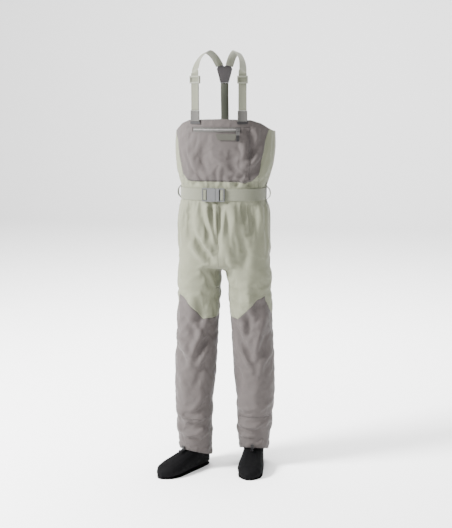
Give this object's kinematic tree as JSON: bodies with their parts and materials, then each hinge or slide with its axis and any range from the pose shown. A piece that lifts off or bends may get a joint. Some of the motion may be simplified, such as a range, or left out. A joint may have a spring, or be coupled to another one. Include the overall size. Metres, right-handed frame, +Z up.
{
  "type": "chest waders",
  "caption": "Stocking-foot chest waders with a high bib, a zipped chest pocket, suspenders joined by a yoke, a wading belt with a side-release buckle and neoprene socks.",
  "frame": {"origin": "on the floor, under the middle of the outer box", "axes": "+Z up from the soles to the suspenders; the wearer faces -Y; +X is the wearer's left"},
  "size_m": [0.424, 0.3552, 1.6107],
  "materials": {
    "taupe_cloth": "coated woven polyester, grey brown",
    "sage_cloth": "coated woven polyester, sage green",
    "sage_webbing": "woven webbing, sage green",
    "olive_webbing": "elastic webbing, inner face, dark olive",
    "grey_webbing": "woven webbing, grey",
    "charcoal_trim": "dark grey reinforcement",
    "charcoal_tape": "dark grey tape and lining",
    "neoprene": "black closed-cell foam with a knitted face",
    "sole_rubber": "dense black foam sole",
    "elastic": "black elastic cord casing",
    "buckle_plastic": "moulded grey acetal",
    "adjuster_plastic": "moulded sage plastic",
    "zip_coil_nylon": "pale coated coil",
    "zip_metal": "coated cast slider",
    "hook_steel": "bent steel wire plate",
    "seam_tape": "heat-bonded seam tape"
  },
  "bodies": {
    "garment": {"zip_tape": "grey_webbing", "zip_coil": "zip_coil_nylon", "dock_patch": "grey_webbing", "right_strap_return": "olive_webbing", "right_strap_holder": "grey_webbing", "right_strap_anchor": "charcoal_trim", "right_shoulder_strap": "sage_webbing", "left_strap_return": "olive_webbing", "left_strap_holder": "grey_webbing", "left_strap_anchor": "charcoal_trim", "left_shoulder_strap": "sage_webbing", "yoke": "charcoal_trim", "back_strap": "olive_webbing", "back_strap_patch": "charcoal_trim", "bib_front_panel": "taupe_cloth", "front_waist_panel": "sage_cloth", "back_panel": "sage_cloth", "right_side_panel": "sage_cloth", "left_side_panel": "sage_cloth", "crotch_gusset": "sage_cloth", "right_front_leg_panel": "sage_cloth", "right_seat_panel": "sage_cloth", "right_knee_panel": "taupe_cloth", "left_front_leg_panel": "sage_cloth", "left_seat_panel": "sage_cloth", "left_knee_panel": "taupe_cloth", "chest_pocket_panel": "taupe_cloth", "pocket_lining": "charcoal_tape", "belt_webbing": "sage_webbing", "belt_fold_right": "sage_webbing", "buckle_socket": "buckle_plastic", "right_belt_loop": "sage_webbing", "left_belt_loop": "sage_webbing", "back_belt_loop": "sage_webbing", "back_seam_tape": "seam_tape"},
    "zip_slider_body": {"zip_slider": "zip_metal"},
    "zip_pull_body": {"zip_pull": "zip_metal", "zip_pull_grip": "charcoal_trim"},
    "buckle_plug_body": {"buckle_plug": "buckle_plastic", "belt_fold_left": "sage_webbing"},
    "upper_latch": {"latch_arm_upper": "buckle_plastic"},
    "lower_latch": {"latch_arm_lower": "buckle_plastic"},
    "right_adjuster_body": {"right_adjuster": "adjuster_plastic"},
    "left_adjuster_body": {"left_adjuster": "adjuster_plastic"},
    "right_lower_leg": {"right_shin_panel": "taupe_cloth", "right_gravel_guard": "taupe_cloth", "right_hem_elastic": "elastic", "right_sock_seam_tape": "charcoal_tape", "right_sock": "neoprene", "right_sole": "sole_rubber", "right_hook_tab": "grey_webbing"},
    "left_lower_leg": {"left_shin_panel": "taupe_cloth", "left_gravel_guard": "taupe_cloth", "left_hem_elastic": "elastic", "left_sock_seam_tape": "charcoal_tape", "left_sock": "neoprene", "left_sole": "sole_rubber", "left_hook_tab": "grey_webbing"},
    "right_hook": {"right_lace_hook": "hook_steel"},
    "left_hook": {"left_lace_hook": "hook_steel"}
  },
  "joints": [
    {"name": "zip_slide", "type": "hinge", "parent": "garment", "child": "zip_slider_body", "pos_m": [0.00086, 0.23816, 1.321], "axis": [0, 0, 1], "range_deg": [-29, 0]},
    {"name": "zip_pull_swing", "type": "hinge", "parent": "zip_slider_body", "child": "zip_pull_body", "pos_m": [0.09231, -0.0663, 1.321], "axis": [-0.9577, -0.2877, 0], "range_deg": [0, 120]},
    {"name": "buckle_part", "type": "slide", "parent": "garment", "child": "buckle_plug_body", "axis": [1, 0, 0], "range_m": [0, 0.034]},
    {"name": "upper_latch_squeeze", "type": "hinge", "parent": "buckle_plug_body", "child": "upper_latch", "pos_m": [0.01063, -0.06344, 1.09475], "axis": [0, -1, 0], "range_deg": [0, 6], "stiffness_Nm_per_rad": 0.05},
    {"name": "lower_latch_squeeze", "type": "hinge", "parent": "buckle_plug_body", "child": "lower_latch", "pos_m": [0.01063, -0.06344, 1.06525], "axis": [0, 1, 0], "range_deg": [0, 6], "stiffness_Nm_per_rad": 0.05},
    {"name": "right_adjuster_slide", "type": "slide", "parent": "garment", "child": "right_adjuster_body", "axis": [0, 0, 1], "range_m": [-0.09, 0]},
    {"name": "left_adjuster_slide", "type": "slide", "parent": "garment", "child": "left_adjuster_body", "axis": [0, 0, 1], "range_m": [-0.09, 0]},
    {"name": "right_knee_bend", "type": "hinge", "parent": "garment", "child": "right_lower_leg", "pos_m": [-0.08687, 0.03486, 0.51], "axis": [1, 0, 0], "range_deg": [0, 60], "deforming": ["right_knee_panel"]},
    {"name": "left_knee_bend", "type": "hinge", "parent": "garment", "child": "left_lower_leg", "pos_m": [0.12612, 0.06386, 0.51], "axis": [1, 0, 0], "range_deg": [0, 60], "deforming": ["left_knee_panel"]},
    {"name": "right_hook_swing", "type": "hinge", "parent": "right_lower_leg", "child": "right_hook", "pos_m": [-0.12498, -0.06094, 0.08342], "axis": [-0.866, 0.5, 0], "range_deg": [0, 75]},
    {"name": "left_hook_swing", "type": "hinge", "parent": "left_lower_leg", "child": "left_hook", "pos_m": [0.13625, 0.00793, 0.08342], "axis": [-0.9962, -0.0872, 0], "range_deg": [0, 75]}
  ],
  "couplings": [
    {"joint": "lower_latch_squeeze", "follows": "upper_latch_squeeze", "ratio": 1}
  ]
}
